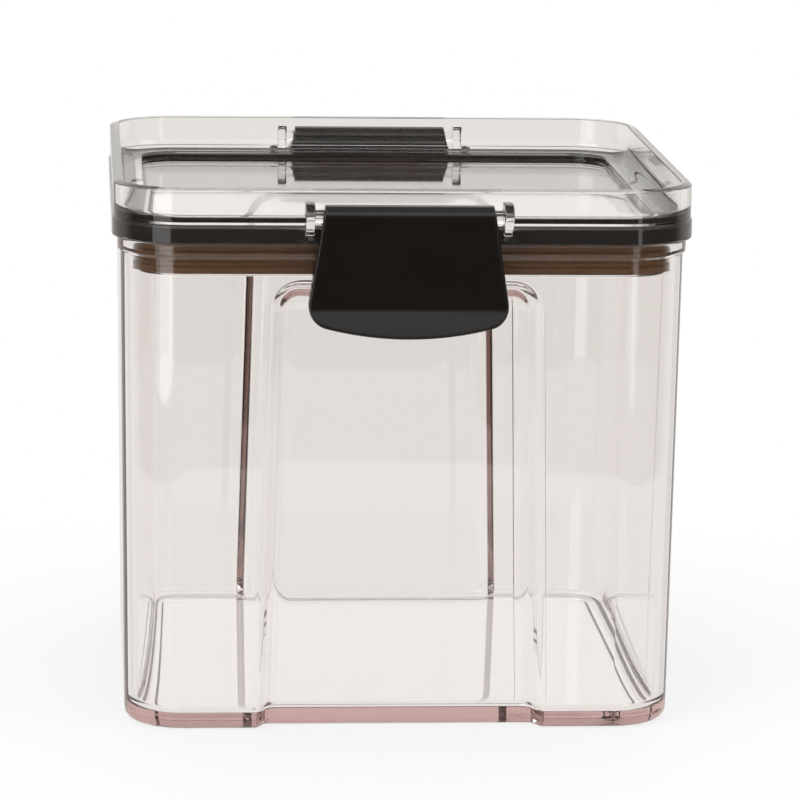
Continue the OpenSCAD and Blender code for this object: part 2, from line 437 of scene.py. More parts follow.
@dataclass(frozen=True)
class ClearBin:
    """The bin: one clear moulding with drafted walls, two arched finger recesses and two catch ribs.

    The lanes are sections of a sloped side: widening, share of the depth and radius of each corner.
    """

    heights: Heights
    half: float = 51.2 * MM
    wall: float = 2.2 * MM
    floor: float = 2.6 * MM
    draft: float = 1.0 * MM
    bead_out: float = 0.5 * MM
    bead_height: float = 2.8 * MM
    base_radius: float = 2.0 * MM
    recess_base_radius: float = 1.2 * MM
    floor_radius: float = 2.0 * MM
    hollow: float = 0.6 * MM
    foot_ring: float = 4.0 * MM
    recess_half: float = 24.4 * MM
    recess_flare: float = 1.8 * MM
    recess_depth: float = 3.6 * MM
    recess_drop: float = 6.9 * MM
    recess_low: float = 2.6 * MM
    recess_radius: float = 5.3 * MM
    swell_drop: float = 0.8 * MM
    swell_lift: float = 0.6 * MM
    rib_half: float = 11.0 * MM
    rib_out: float = 1.8 * MM
    rib_drop: float = 5.0 * MM
    rib_height: float = 0.8 * MM
    rib_step: float = 0.05 * MM
    rib_end: float = 0.1 * MM
    outer_roof_drop: float = 5.5 * MM
    inner_roof_drop: float = 5.2 * MM
    core: float = 0.5 * MM
    bend_steps: ClassVar[int] = 8
    recess_lane: ClassVar[tuple[Corner, ...]] = (
        (1.4 * MM, 0, 0), (0, 0, 0.9 * MM), (-1.6 * MM, 1, 1.1 * MM), (-3.4 * MM, 1, 0))
    swell_lane: ClassVar[tuple[Corner, ...]] = (
        (2.6 * MM, 0, 0), (0.3 * MM, 0, 2.0 * MM), (-3.0 * MM, 1, 5.2 * MM), (-6.0 * MM, 1, 0))

    def outer(self, z: float) -> float:
        """Gives the outer face's distance from the middle at a height."""
        return self.half - self.draft * (1 - z / self.heights.rim_z)

    def inner(self, z: float) -> float:
        """Gives the inner face's distance from the middle at a height."""
        return self.outer(z) - self.wall

    def marks(self) -> tuple[float, ...]:
        """Gives the columns at the catch rib's two ends."""
        return (self.rib_half + self.rib_end, self.rib_half - self.rib_end)

    def recess(self) -> Arch:
        """Gives the recess's outline on the outer face."""
        return Arch(self.recess_half, self.recess_flare, self.heights.rim_z - self.recess_drop,
                    self.recess_radius, self.recess_low, self.marks())

    def swell(self) -> Arch:
        """Gives the outline of the swelling behind the recess, on the inner face."""
        return Arch(self.recess_half, self.recess_flare, self.heights.rim_z - self.recess_drop - self.swell_drop,
                    self.recess_radius, self.floor + self.floor_radius + self.swell_lift, self.marks())

    def lane(self, corners: Sequence[Corner], steps: int) -> list[Pair]:
        """Gives the widening and the depth along a sloped side.

        Args:
            corners: The side's section.
            steps: Number of segments in each rounding.
        """
        return rounded([(x, share * self.recess_depth, radius) for x, share, radius in corners], steps=steps)[1:-1]

    def under_base(self, depth: float) -> list[Pair]:
        """Gives the section from the outer face down to the base and in to its hollow.

        Args:
            depth: How far the face is set back here.

        Returns:
            Distance from the middle and height of each point.
        """
        share = depth / self.recess_depth
        radius = self.base_radius + (self.recess_base_radius - self.base_radius) * share
        edge = self.outer(0) - depth
        ring = self.outer(0) - self.base_radius - self.foot_ring
        bend = arc((edge - radius, radius), radius, 0, -math.pi / 2, self.bend_steps)
        return [*bend, (ring + self.hollow, 0), (ring, self.hollow), (PLAN.centre + self.core, self.hollow)]

    def over_floor(self, depth: float) -> list[Pair]:
        """Gives the section from the inner face down the fillet and in over the floor.

        Args:
            depth: How far the face stands inwards here.

        Returns:
            Distance from the middle and height of each point.
        """
        radius = self.floor_radius
        edge = self.inner(self.floor) - depth
        bend = arc((edge - radius, self.floor + radius), radius, 0, -math.pi / 2, self.bend_steps)
        return [*bend, (PLAN.centre + self.core, self.floor)]

    def rim(self, roof: float, inner_roof: float) -> list[Corner]:
        """Gives the section over the catch rib's heights, the bead and the rim.

        Args:
            roof: Height at which the outer face's panel ends.
            inner_roof: Height at which the inner face's panel ends.

        Returns:
            Distance from the middle, height and how far the catch rib stands out at each point.
        """
        top = self.heights.rim_z
        rib = top - self.rib_drop
        bead = top - self.bead_height
        out = self.half + self.bead_out
        heights = [(roof, 0.0), (rib - self.rib_step, 0.0), (rib + self.rib_step, self.rib_out),
                   (rib + self.rib_height, self.rib_out)]
        face = [(self.outer(z), z, stand) for z, stand in heights]
        edge = rounded([(self.outer(bead), bead, 0), (out, bead + self.bead_out, 0.3 * MM),
                        (out, top, 0.5 * MM), (self.half - self.wall, top, 0.6 * MM),
                        (self.inner(inner_roof), inner_roof, 0)])
        return face + [(u, z, 0.0) for u, z in edge]

    def panel(self, skin: Skin, arch: Arch, lane: Sequence[Pair], roof: float, wall: Callable[[float], float],
              foot: Callable[[float], list[Pair]]) -> None:
        """Adds one skin of the front side, with its recess or swelling and its foot.

        Args:
            skin: Takes the faces.
            arch: The outline on this skin.
            lane: The sloped side's section.
            roof: Height of the panel's upper edge.
            wall: Gives the plain skin's distance from the middle at a height.
            foot: Gives the section below the panel for a depth.
        """
        rings = [[Vector((x, depth - wall(z), z)) for x, z in arch.ring(grow)] for grow, depth in lane]
        border = [Vector((x, -wall(z), z)) for x, z in arch.border(PLAN.centre, roof)]
        skin.grid([border, *rings])
        skin.face(rings[-1])
        right = [(PLAN.centre, 0.0)] + [(arch.ring(grow)[0][0], depth) for grow, depth in lane]
        columns = right + [(-x, depth) for x, depth in reversed(right)]
        rows = [[Vector((x, -u, z)) for u, z in [(wall(arch.low) - depth, arch.low), *foot(depth)]]
                for x, depth in columns]
        skin.grid(rows)

    def build(self) -> Thing:
        """Makes the bin's mesh.

        Returns:
            The bin's object.
        """
        skin = Skin()
        roof, inner_roof = (self.heights.rim_z - drop for drop in (self.outer_roof_drop, self.inner_roof_drop))
        recess, swell = self.recess(), self.swell()
        rim = self.rim(roof, inner_roof)
        outer_side = [z for _, z in recess.border(PLAN.centre, roof)[: Arch.steps + 2]]
        inner_side = [z for _, z in swell.border(PLAN.centre, inner_roof)[: Arch.steps + 2]]
        section = list(reversed(self.under_base(0))) + [(self.outer(z), z) for z in outer_side]
        section += [(u, z) for u, z, _ in rim]
        section += [(self.inner(z), z) for z in reversed(inner_side)] + self.over_floor(0)
        PLAN.sweep(skin, section, quarters=(3, 0))
        self.panel(skin, recess, self.lane(self.recess_lane, steps=6), roof, self.outer, self.under_base)
        self.panel(skin, swell, self.lane(self.swell_lane, steps=10), inner_roof, self.inner, self.over_floor)
        columns = [x for x, z in recess.border(PLAN.centre, roof) if abs(z - roof) < Skin.WELD]
        skin.grid([[Vector((x, -u - (stand if abs(x) < self.rib_half else 0), z)) for u, z, stand in rim]
                   for x in columns])
        skin.repeat(HALF_TURN)
        return skin.piece("bin_moulding")


@dataclass(frozen=True)
class StackingLid:
    """The lid: rim wall, ledge, sunk panel, skirt, plug wall and the ears that the latches turn on."""

    heights: Heights
    rim_wall: float = 1.8 * MM
    rim_height: float = 6.5 * MM
    rim_flat: float = 0.4 * MM
    rim_slope: float = 0.36 * MM
    tray_fillet: float = 2.4 * MM
    skirt_proud: float = 0.25 * MM
    ledge: float = 2.9 * MM
    panel_drop: float = 1.5 * MM
    panel_thick: float = 1.8 * MM
    plug_wall: float = 1.6 * MM
    plug_height: float = 6.2 * MM
    foot_out: float = 0.15 * MM
    foot_height: float = 0.35 * MM
    skirt_thick: float = 1.1 * MM
    skirt_gap: float = 0.1 * MM
    barrel: float = 2.1 * MM
    barrel_gap: float = 0.3 * MM
    pivot_drop: float = 4.5 * MM
    latch_half: float = 15.1 * MM
    ear_gap: float = 1.75 * MM
    ear_thick: float = 1.7 * MM
    ear_radius: float = 2.45 * MM
    ear_lift: float = 0.8 * MM
    ear_heel: float = 0.4 * MM
    ear_turn: float = math.radians(-20)
    ear_soft: float = 0.3 * MM
    gusset: float = 1.7 * MM
    gusset_lift: float = 0.1 * MM
    gusset_drop: float = 0.3 * MM
    soft: float = 0.2 * MM
    bury: float = 0.5 * MM
    stub_radius: float = 1.2 * MM
    stub_reach: float = 2.6 * MM
    core: float = 0.5 * MM

    def rim_half(self) -> float:
        """Gives the rim wall's distance from the middle."""
        return self.heights.skirt_half - self.skirt_proud

    def pivot(self) -> Pair:
        """Gives the front hinge's distance from the middle, and its height."""
        return self.rim_half() + self.barrel + self.barrel_gap, self.heights.top - self.pivot_drop

    def section(self) -> list[Pair]:
        """Gives the section from the panel's top, over the rim and the skirt, to the panel's underside.

        Returns:
            Distance from the middle and height of each point.
        """
        high = self.heights
        rim = self.rim_half()
        tray = rim - self.rim_wall
        plug = tray - self.ledge
        step = plug - self.plug_wall
        ledge_z = high.top - self.rim_height
        panel_z = ledge_z - self.panel_drop
        skirt_low = high.rim_z + self.skirt_gap
        plug_z = high.rim_z - self.plug_height
        seal = rim - self.skirt_thick
        middle = PLAN.centre + self.core
        return rounded([
            (middle, panel_z, 0), (step, panel_z, 0.3 * MM), (step, ledge_z, 0.25 * MM),
            (tray, ledge_z, self.tray_fillet), (tray, high.top, 0.2 * MM),
            (tray + self.rim_flat, high.top, 0.3 * MM), (rim, high.top - self.rim_slope, 0.25 * MM),
            (rim, ledge_z, 0.1 * MM), (high.skirt_half, ledge_z - self.skirt_proud, 0.15 * MM),
            (high.skirt_half, skirt_low, 0.25 * MM), (seal, skirt_low, 0.25 * MM),
            (seal, high.seal_z, 0.2 * MM), (plug, high.seal_z, 0.2 * MM),
            (plug, plug_z + self.foot_height, 0.1 * MM),
            (plug + self.foot_out, plug_z + self.foot_height, 0.12 * MM),
            (plug + self.foot_out, plug_z, 0.2 * MM), (step, plug_z, 0.3 * MM),
            (step, panel_z - self.panel_thick, 0.6 * MM), (middle, panel_z - self.panel_thick, 0)])

    def ear(self, side: int) -> list[Thing]:
        """Makes one ear with its gusset and the stub that a latch turns on.

        Args:
            side: -1 for left, 1 for right.

        Returns:
            The three solids, still apart.
        """
        pivot_u, pivot_z = self.pivot()
        rim, skirt = self.rim_half(), self.heights.skirt_half
        low = self.heights.rim_z + self.ear_lift
        near = self.latch_half + self.ear_gap
        bury = self.bury
        outline = [(rim - bury, low), (rim - bury, pivot_z + self.ear_radius)]
        outline += arc((pivot_u, pivot_z), self.ear_radius, math.pi / 2, self.ear_turn, 20)
        outline += [(skirt + self.ear_heel, low)]
        plate = prism(outline, (side * near, side * (near + self.ear_thick)), across)
        plate.soften(self.ear_soft)
        far = near + self.ear_thick
        wedge = [(side * (far - bury), skirt - bury), (side * (far - bury), skirt + self.gusset),
                 (side * far, skirt + self.gusset), (side * (far + self.gusset + bury), skirt - bury)]
        gusset_top = self.heights.top - self.rim_height - self.skirt_proud - self.gusset_drop
        brace = prism(wedge, (low + self.gusset_lift, gusset_top), upright)
        brace.soften(self.soft)
        tip = self.latch_half - self.stub_reach
        stub = spindle([(side * x, r) for x, r in [
            (tip, 0), (tip, self.stub_radius - self.soft), (tip + self.soft, self.stub_radius),
            (near + self.ear_thick / 2, self.stub_radius), (near + self.ear_thick / 2, 0)]], pivot_u, pivot_z)
        return [plate.piece("ear"), brace.piece("brace"), stub.piece("stub")]

    def build(self) -> Thing:
        """Makes the lid's mesh.

        Returns:
            The lid's object.
        """
        skin = Skin()
        PLAN.sweep(skin, self.section())
        lid = skin.piece("lid_moulding")
        extras = self.ear(-1) + self.ear(1)
        for rear in [thing.copy() for thing in extras]:
            rear.data = rear.data.copy()
            rear.data.transform(HALF_TURN)
            bpy.context.scene.collection.objects.link(rear)
            extras.append(rear)
        fuse(lid, *extras)
        return lid


@dataclass(frozen=True)
class PlugGasket:
    """The gasket: a flange between lid and bin, and a sleeve with two sealing lips round the plug.

    It is pressed flat against the lid, so its skin lies a hair inside the lid's skin there.
    """

    heights: Heights
    plug: float = 47.8 * MM
    squeeze: float = 0.03 * MM
    skirt_inner: float = 51.4 * MM
    sleeve: float = 0.5 * MM
    bin_inner: float = 49.0 * MM
    lip_gap: float = 0.06 * MM
    upper_lip: float = 2.1 * MM
    lower_lip: float = 1.3 * MM
    groove: float = 0.6 * MM
    slant: float = 0.3 * MM
    soft: float = 0.15 * MM
    rim_gap: float = 0.03 * MM
    over_foot: float = 0.22 * MM

    def section(self) -> list[Pair]:
        """Gives the gasket's closed section.

        Returns:
            Distance from the middle and height of each point.
        """
        inner = self.plug - self.squeeze
        sleeve = self.plug + self.sleeve
        lip = self.bin_inner - self.lip_gap
        low = self.heights.foot_z - self.over_foot
        soft, slant = self.soft, self.slant
        first = low + self.lower_lip + slant
        second = first + self.groove
        third = second + self.upper_lip
        edge = self.skirt_inner + self.squeeze
        base, top = self.heights.rim_z + self.rim_gap, self.heights.seal_z + self.squeeze
        return rounded([
            (inner, low, 0.1 * MM), (sleeve - slant, low, 0.05 * MM), (lip, low + slant, soft),
            (lip, first - slant, soft), (sleeve, first, 0.1 * MM), (sleeve, second, 0.1 * MM),
            (lip, second + slant, soft), (lip, third - slant, soft), (sleeve, third, 0.1 * MM),
            (sleeve, base, 0.2 * MM), (edge, base, 0.3 * MM), (edge, top, 0.1 * MM), (inner, top, 0.1 * MM)],
            closed=True, steps=4)

    def build(self) -> Thing:
        """Makes the gasket's mesh.

        Returns:
            The gasket's object.
        """
        skin = Skin()
        section = self.section()
        PLAN.sweep(skin, [*section, section[0]])
        return skin.piece("seal_ring")


@dataclass(frozen=True)
class FlipLatch:
    """A latch: hinge barrel, plate with side flanges, finger lip and hook, one black moulding."""

    heights: Heights
    pivot: Pair
    top_half: float = 15.1 * MM
    flare: float = 3.1 * MM
    height: float = 23.7 * MM
    barrel: float = 2.1 * MM
    plate: float = 1.6 * MM
    flange: float = 1.4 * MM
    flange_depth: float = 2.1 * MM
    lip_out: float = 1.6 * MM
    lip_height: float = 5.3 * MM
    corner: float = 4.0 * MM
    bow: float = 2.7 * MM
    edge: float = 0.4 * MM
    crease: float = 0.35 * MM
    soft: float = 0.25 * MM
    web: float = 0.15 * MM
    overlap: float = 0.6 * MM
    tuck: float = 0.01 * MM
    flange_lift: float = 0.8 * MM
    bore: float = 1.25 * MM
    bore_depth: float = 2.9 * MM
    hook_half: float = 10.5 * MM
    catch_z: float = 84.9 * MM
    catch_u: float = 53.0 * MM
    hook_gap: float = 0.3 * MM
    hook_reach: float = 0.9 * MM
    hook_nose: float = 0.7 * MM
    hook_height: float = 3.4 * MM
    hook_soft: float = 0.15 * MM
    bury: float = 0.5 * MM
    line_steps: ClassVar[int] = 64
    bend_steps: ClassVar[int] = 6
    bow_steps: ClassVar[int] = 28

    def front(self, z: float) -> float:
        """Gives the front face's distance from the middle at a height."""
        return self.surface(z, 0)

    def back(self, z: float) -> float:
        """Gives the back face's distance from the middle at a height."""
        return self.surface(z, self.plate)

    def surface(self, z: float, inset: float) -> float:
        """Gives the distance from the middle of a face that follows the plate and its bent lip.

        Args:
            z: The height.
            inset: How far behind the front face.

        Returns:
            The distance from the middle.
        """
        face = self.pivot[0] + self.barrel - inset
        drop = self.heights.latch_low + self.lip_height - z
        crease = self.crease
        slope = self.lip_out / self.lip_height
        if drop <= -crease:
            return face
        return face + slope * (drop if drop >= crease else (drop + crease) ** 2 / (4 * crease))

    def outline(self, inset: float) -> tuple[list[Pair], list[Pair]]:
        """Gives the right side and the lower edge of the latch seen from the front.

        Args:
            inset: How far inside the outer edge.

        Returns:
            The side from top to the middle of the lower corner, and the edge from there to the other corner.
        """
        slope = self.flare / (self.height - self.corner)
        scale = math.hypot(1, slope)
        normal = Vector((1, slope)) / scale
        along = Vector((slope, -1)) / scale
        reach = normal.dot(Vector((self.top_half, self.heights.latch_high)))
        half = self.top_half + self.flare
        bow = (half ** 2 + self.bow ** 2) / (2 * self.bow)
        middle = Vector((0, self.heights.latch_low + bow))
        start = normal * (reach - self.corner) - middle
        drop = start.dot(along)
        run = -drop + math.sqrt(drop ** 2 - start.length_squared + (bow - self.corner) ** 2)
        centre = start + middle + along * run
        side_angle = math.atan2(normal.y, normal.x)
        spoke = centre - middle
        bow_angle = math.atan2(spoke.y, spoke.x)
        bend = arc(tuple(centre), self.corner - inset, side_angle, bow_angle, 2 * self.bend_steps)
        top = self.pivot[1] + self.overlap
        top_x = (reach - inset - normal.y * top) / normal.x
        side = [(top_x + (bend[0][0] - top_x) * t, top + (bend[0][1] - top) * t)
                for t in spaced(0, 1, self.line_steps)[:-1]] + bend[: self.bend_steps + 1]
        sag = arc(tuple(middle), bow - inset, bow_angle, -math.pi - bow_angle, self.bow_steps)
        lower = bend[self.bend_steps: -1] + sag + [(-x, z) for x, z in reversed(bend[self.bend_steps: -1])]
        return side, lower

    def patch(self, inset: float) -> list[list[Pair]]:
        """Gives a grid of points that fills the outline.

        Args:
            inset: How far inside the outer edge the grid ends.

        Returns:
            The grid's rows, from the top down.
        """
        side, lower = self.outline(inset)
        (high_x, _), (base_x, base_z) = side[0], side[-1]
        rows = []
        for i, (x, z) in enumerate(side):
            down = i / (len(side) - 1)
            row = []
            for j, (low_x, low_z) in enumerate(lower):
                turn = 1 - 2 * j / (len(lower) - 1)
                upper_x = high_x * turn * (1 - down) + low_x * down
                flat_x = high_x * turn * (1 - down) + base_x * turn * down
                row.append((x * turn + upper_x - flat_x, z + (low_z - base_z) * down))
            rows.append(row)
        return rows

    def flange_at(self, z: float) -> float:
        """Gives how far the side flanges reach behind the plate at a height."""
        low = self.heights.latch_low + self.corner + self.flange_lift
        return min(max(z - low, 0), self.flange_depth)

    def flange_back(self, z: float) -> float:
        """Gives the back edge of the side flanges, as a distance from the middle, at a height."""
        return self.back(z) - self.flange_at(z)

    def over_barrel(self, z: float) -> float:
        """Gives the front face's distance from the middle, just under the barrel's skin above its axis.

        Args:
            z: The height.

        Returns:
            The distance from the middle.
        """
        over = max(z - self.pivot[1], 0)
        return self.front(z) - self.barrel + math.sqrt(self.barrel ** 2 - over ** 2) - (self.tuck if over else 0)

    def around(self, inset: float) -> list[Pair]:
        """Gives the outline from the top right, round the lower edge, to the top left, at an inset."""
        side, lower = self.outline(inset)
        return side + lower[1:] + [(-x, z) for x, z in reversed(side[:-1])]

    def shell(self) -> Thing:
        """Makes the plate with its lip and its side flanges.

        Returns:
            The shell's object.
        """
        skin = Skin()
        quarter = spaced(0, math.pi / 2, 4)
        soft, inside = self.soft, self.flange + self.web
        rings = [lay_front(self.around(self.edge * (1 - math.sin(a))),
                           lambda z, a=a: self.over_barrel(z) - self.edge * (1 - math.cos(a))) for a in quarter]
        rings += [lay_front(self.around(soft * (1 - math.cos(a))),
                            lambda z, a=a: self.flange_back(z) + soft * (1 - math.sin(a))) for a in quarter]
        rings += [lay_front(self.around(self.flange - soft * (1 - math.sin(a))),
                            lambda z, a=a: self.flange_back(z) + min(soft, self.flange_at(z)) * (1 - math.cos(a)))
                  for a in quarter]
        rings.append(lay_front(self.around(inside), self.back))
        skin.grid(rings)
        skin.grid([lay_front(row, self.over_barrel) for row in self.patch(self.edge)])
        skin.grid([lay_front(row, self.back) for row in self.patch(inside)])
        return skin.piece("plate")

    def hinge_barrel(self) -> Thing:
        """Makes the barrel with its two blind bores.

        Returns:
            The barrel's object.
        """
        half, radius, soft = self.top_half, self.barrel, self.soft
        corners = [(half - self.bore_depth, 0, 0), (half - self.bore_depth, self.bore, 0),
                   (half, self.bore, 0.1 * MM), (half, radius, soft)]
        right = rounded([*corners, (0, radius, 0)], steps=4)[:-1]
        profile = [(-x, r) for x, r in right] + [(x, r) for x, r in reversed(right)]
        return spindle(profile, *self.pivot, steps=72).piece("barrel")

    def hook(self) -> Thing:
        """Makes the hook that reaches in under the bin's catch rib.

        Returns:
            The hook's object.
        """
        top = self.catch_z - self.hook_gap
        face = self.front(self.catch_z)
        plate = face - self.plate
        nose = self.catch_u - self.hook_reach
        low = top - self.hook_height
        outline = [(plate + self.bury, top), (nose, top), (nose, top - self.hook_nose), (plate, low),
                   (plate + self.bury, low)]
        solid = prism(outline, (-self.hook_half, self.hook_half), across)
        solid.soften(self.hook_soft, 2)
        return solid.piece("hook")

    def build(self, name: str, turn: Matrix) -> Thing:
        """Makes the latch's mesh.

        Args:
            name: The object's name.
            turn: Turns the front latch to its place.

        Returns:
            The latch's object.
        """
        latch = self.shell()
        fuse(latch, self.hinge_barrel(), self.hook())
        latch.name = latch.data.name = name
        latch.data.transform(turn)
        return latch


class Nodes:
    """Adds shader nodes to one tree."""

    def __init__(self, tree: bpy.types.NodeTree) -> None:
        """Takes the tree."""
        self.tree = tree

    def feed(self, node: Node, given: dict[str | int, object]) -> None:
        """Fills a node's inputs.

        Args:
            node: The node.
            given: What goes into each input: a socket is linked and a value is set.
        """
        for key, value in given.items():
            if isinstance(value, Socket):
                self.tree.links.new(value, node.inputs[key])
            else:
                node.inputs[key].default_value = value

    def add(self, kind: str, given: dict[str | int, object] | None = None, **settings: object) -> Node:
        """Adds a node.

        Args:
            kind: The node's type, without the word that all shader nodes start with.
            given: What goes into its inputs.
            settings: Its other properties.

        Returns:
            The new node.
        """
        node = self.tree.nodes.new("ShaderNode" + kind)
        for key, value in settings.items():
            setattr(node, key, value)
        self.feed(node, given or {})
        return node

    def maths(self, operation: str, first: Socket, second: Socket | float, clamp: bool = False) -> Socket:
        """Works out one number from two, and can keep it from 0 to 1."""
        return self.add("Math", {0: first, 1: second}, operation=operation, use_clamp=clamp).outputs[0]

    def ranged(self, value: Socket, source: Pair = (0, 1), target: Pair = (0, 1), eased: bool = False) -> Socket:
        """Carries a number from one range to another and keeps it there.

        Args:
            value: The number.
            source: The range that it comes from.
            target: The range that it goes to.
            eased: Whether it leaves and arrives gently.

        Returns:
            The carried number.
        """
        return self.add("MapRange", {"Value": value, "From Min": source[0], "From Max": source[1],
                                     "To Min": target[0], "To Max": target[1]},
                        clamp=True, interpolation_type="SMOOTHSTEP" if eased else "LINEAR").outputs["Result"]

    def blended(self, share: Socket, low: Colour | Socket, high: Colour) -> Socket:
        """Mixes two colours by the share of the second."""
        first = low if isinstance(low, Socket) else (*low, 1)
        return self.add("Mix", {"Factor": share, "A": first, "B": (*high, 1)}, data_type="RGBA").outputs["Result"]

    def bumped(self, height: Socket, distance: float) -> Socket:
        """Turns a height from 0 to 1 into a normal, where 1 is as high as the distance, in metres."""
        return self.add("Bump", {"Height": height, "Distance": distance}).outputs["Normal"]

    def mixed(self, share: Socket, first: Socket, second: Socket) -> Socket:
        """Mixes two shaders by the share of the second."""
        return self.add("MixShader", {"Fac": share, 1: first, 2: second}).outputs["Shader"]

    def glow(self, colour: Colour, strength: float = 1.0) -> Socket:
        """Gives an even light for the surroundings."""
        return self.add("Background", {"Color": (*colour, 1), "Strength": strength}).outputs["Background"]


class Group(Nodes):
    """An effect that several materials share: a node group of plain numbers."""

    def __init__(self, name: str, results: Sequence[str], **inputs: float) -> None:
        """Starts a group.

        Args:
            name: The group's name.
            results: Names of the numbers that come out.
            inputs: Name and usual value of each number that goes in.
        """
        super().__init__(bpy.data.node_groups.new(name, "ShaderNodeTree"))
        for label, value in inputs.items():
            socket = self.tree.interface.new_socket(label, in_out="INPUT", socket_type="NodeSocketFloat")
            socket.default_value = value
        for label in results:
            self.tree.interface.new_socket(label, in_out="OUTPUT", socket_type="NodeSocketFloat")
        self.given = self.tree.nodes.new("NodeGroupInput").outputs
        self.result = self.tree.nodes.new("NodeGroupOutput")
        self.place = self.add("TexCoord").outputs["Object"]

    def noise(self, scale: str, detail: float, roughness: float = 0.5, place: Socket | None = None) -> Socket:
        """Adds a noise.

        Args:
            scale: Name of the input that sets its scale.
            detail: Number of its finer layers.
            roughness: Strength of the finer layers.
            place: Where it is read, or None for the object's own place.
        """
        return self.add("TexNoise", {"Vector": self.place if place is None else place, "Scale": self.given[scale],
                                     "Detail": detail, "Roughness": roughness}).outputs["Fac"]

    def close(self, **results: Socket) -> bpy.types.NodeTree:
        """Links what comes out and gives the finished group."""
        self.feed(self.result, results)
        return self.tree


def flow_group() -> bpy.types.NodeTree:
    """Makes the effect of moulded plastic's slow surface waves and fine handling marks.

    Returns:
        A group that gives a height for the waves and a share for the marks.
    """
    group = Group("moulding flow", ("Height", "Marks"), Waves=60.0, Marks=900.0)
    stretched = group.add("Mapping", {"Vector": group.place, "Scale": (1.0, 1.0, 0.12),
                                      "Rotation": (0.3, 0.5, 0.2)}).outputs["Vector"]
    marks = group.ranged(group.noise("Marks", detail=3.0, place=stretched), source=(0.58, 0.75))
    return group.close(Height=group.noise("Waves", detail=1.5), Marks=marks)


def grain_group() -> bpy.types.NodeTree:
    """Makes the effect of a fine spark-eroded mould grain with soft mottling.

    Returns:
        A group that gives the grain's height and a mottling share.
    """
    group = Group("mould grain", ("Height", "Mottle"), Grain=4200.0, Mottle=90.0)
    grain = group.noise("Grain", detail=2.0, roughness=0.6)
    return group.close(Height=grain, Mottle=group.noise("Mottle", detail=4.0))


def edge_group() -> bpy.types.NodeTree:
    """Makes the effect of edges rubbed smooth and a little paler by fingers.

    Returns:
        A group that gives the share of rubbing.
    """
    group = Group("edge wear", ("Worn",), Reach=0.08, Breakup=500.0)
    sharp = group.maths("SUBTRACT", group.add("NewGeometry").outputs["Pointiness"], 0.5)
    share = group.maths("DIVIDE", sharp, group.given["Reach"], clamp=True)
    return group.close(Worn=group.maths("MULTIPLY", share, group.noise("Breakup", detail=3.0), clamp=True))


class Effects:
    """The shader groups that several materials share, each built once."""

    def __init__(self) -> None:
        """Builds the groups."""
        self.flow = flow_group()
        self.grain = grain_group()
        self.edges = edge_group()


class Surface(Nodes):
    """A new material with only a principled shader and an output."""

    def __init__(self, name: str) -> None:
        """Starts the material.

        Args:
            name: The material's name.
        """
        self.material = bpy.data.materials.new(name)
        self.material.use_nodes = True
        super().__init__(self.material.node_tree)
        self.tree.nodes.clear()
        self.shader = self.add("BsdfPrincipled")
        self.output = self.add("OutputMaterial", {"Surface": self.shader.outputs["BSDF"]})


@dataclass(frozen=True)
class ClearPlastic:
    """Clear moulded plastic that shows its tint where it is thick.

    Attributes:
        name: The material's name.
        tint: The colour that thick plastic turns to.
        density: How quickly it does so, per metre.
        waves: Height of the moulding's slow waves, in metres.
        smooth: Roughness of the clean surface.
        rubbed: Roughness of the handling marks.
        index: How strongly it bends light.
    """

    name: str
    tint: Colour
    density: float
    waves: float
    smooth: float = 0.015
    rubbed: float = 0.06
    index: float = 1.52

    def make(self, effects: Effects) -> bpy.types.Material:
        """Makes the material.

        Args:
            effects: The shared groups.

        Returns:
            The material.
        """
        look = Surface(self.name)
        flow = look.add("Group", node_tree=effects.flow).outputs
        look.feed(look.shader, {
            "Base Color": (1, 1, 1, 1), "Transmission Weight": 1, "IOR": self.index,
            "Roughness": look.ranged(flow["Marks"], target=(self.smooth, self.rubbed)),
            "Normal": look.bumped(flow["Height"], self.waves)})
        inside = look.add("VolumeAbsorption", {"Color": (*self.tint, 1), "Density": self.density})
        look.feed(look.output, {"Volume": inside.outputs["Volume"]})
        return look.material


@dataclass(frozen=True)
class GrainedPlastic:
    """Opaque moulded plastic or rubber with a fine grain and rubbed edges.

    Attributes:
        name: The material's name.
        colour: The colour of the clean surface.
        worn: The colour of rubbed edges.
        matt: Roughness of the grain, at its lowest and highest.
        grain: Height of the grain, in metres.
        grain_scale: Grains per metre.
        edge_reach: How sharp an edge is fully rubbed.
        gloss: Strength of its shine, where 0.5 is plain plastic.
    """

    name: str
    colour: Colour
    worn: Colour
    matt: Pair
    grain: float
    grain_scale: float = 4200.0
    edge_reach: float = 0.08
    gloss: float = 0.5

    def make(self, effects: Effects) -> bpy.types.Material:
        """Makes the material.

        Args:
            effects: The shared groups.

        Returns:
            The material.
        """
        look = Surface(self.name)
        grain = look.add("Group", node_tree=effects.grain)
        edges = look.add("Group", node_tree=effects.edges)
        look.feed(grain, {"Grain": self.grain_scale})
        look.feed(edges, {"Reach": self.edge_reach})
        look.feed(look.shader, {
            "Specular IOR Level": self.gloss,
            "Base Color": look.blended(edges.outputs["Worn"], self.clean(look), self.worn),
            "Roughness": look.ranged(grain.outputs["Mottle"], target=self.matt),
            "Normal": look.bumped(grain.outputs["Height"], self.grain)})
        return look.material

    def clean(self, look: Surface) -> Colour | Socket:
        """Gives the colour of the clean surface.

        Args:
            look: The material that is being made; not used.
        """
        return self.colour


